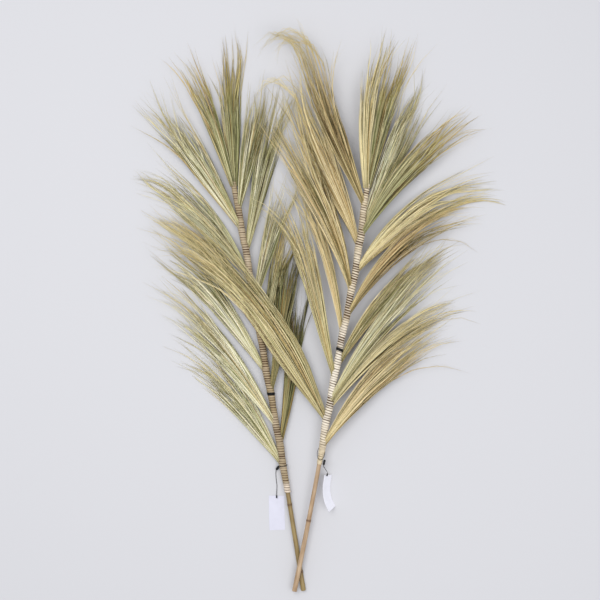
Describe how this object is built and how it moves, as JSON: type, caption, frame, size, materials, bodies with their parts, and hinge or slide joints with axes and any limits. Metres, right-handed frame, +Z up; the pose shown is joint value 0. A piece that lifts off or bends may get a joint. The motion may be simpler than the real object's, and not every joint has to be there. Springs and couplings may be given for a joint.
{
  "type": "bundle of dried rayung grass",
  "caption": "Dried grass bundle lying on a surface: slim canes wound with strip, with fine curved sheaves of grass standing out on each side and at the tips, and blank swing tags.",
  "frame": {"origin": "on the surface that the bundle lies on, under the middle of its bounding box", "axes": "+Y from the canes' feet to the grass tips, +Z up, +X to the right as seen from above with the tips away"},
  "size_m": [0.8328, 1.3034, 0.0494],
  "materials": {
    "cane": "smooth dry cane, satin",
    "winding": "dry plant-fibre strip, matt",
    "green_grass": "dry green-olive grass, matt",
    "pale_grass": "dry pale straw-green grass, matt",
    "golden_grass": "dry golden grass, matt",
    "brown_grass": "dry olive-brown grass, matt",
    "marker_band": "matt black",
    "black_cord": "thin black cord",
    "black_plastic": "small black plastic bead",
    "tag_card": "smooth white card, blank"
  },
  "bodies": {
    "root": {"left_cane": "cane", "left_marker_band": "marker_band", "left_sheaf_left_1": "green_grass", "left_sheaf_left_2": "green_grass", "left_sheaf_left_3": "golden_grass", "left_sheaf_left_4": "green_grass", "left_sheaf_left_5": "pale_grass", "left_sheaf_left_6": "green_grass", "left_sheaf_right_1": "green_grass", "left_sheaf_right_2": "green_grass", "left_sheaf_right_3": "green_grass", "left_sheaf_right_4": "green_grass", "left_sheaf_right_5": "green_grass", "left_sheaf_right_6": "green_grass", "left_sheaf_tip_inner": "green_grass", "left_sheaf_tip_outer": "green_grass", "left_tag_card": "tag_card", "left_tag_cord": "black_cord", "left_tag_loop": "black_cord", "left_tag_stud": "black_plastic", "left_winding": "winding", "right_cane": "cane", "right_marker_band": "marker_band", "right_sheaf_left_1": "brown_grass", "right_sheaf_left_2": "pale_grass", "right_sheaf_left_3": "golden_grass", "right_sheaf_left_4": "golden_grass", "right_sheaf_left_5": "golden_grass", "right_sheaf_left_6": "golden_grass", "right_sheaf_right_1": "green_grass", "right_sheaf_right_2": "green_grass", "right_sheaf_right_3": "golden_grass", "right_sheaf_right_4": "brown_grass", "right_sheaf_right_5": "brown_grass", "right_sheaf_right_6": "pale_grass", "right_sheaf_right_7": "pale_grass", "right_sheaf_right_8": "golden_grass", "right_sheaf_tip_inner": "green_grass", "right_sheaf_tip_outer": "green_grass", "right_tag_card": "tag_card", "right_tag_cord": "black_cord", "right_tag_loop": "black_cord", "right_tag_stud": "black_plastic", "right_winding": "winding"}
  },
  "joints": []
}
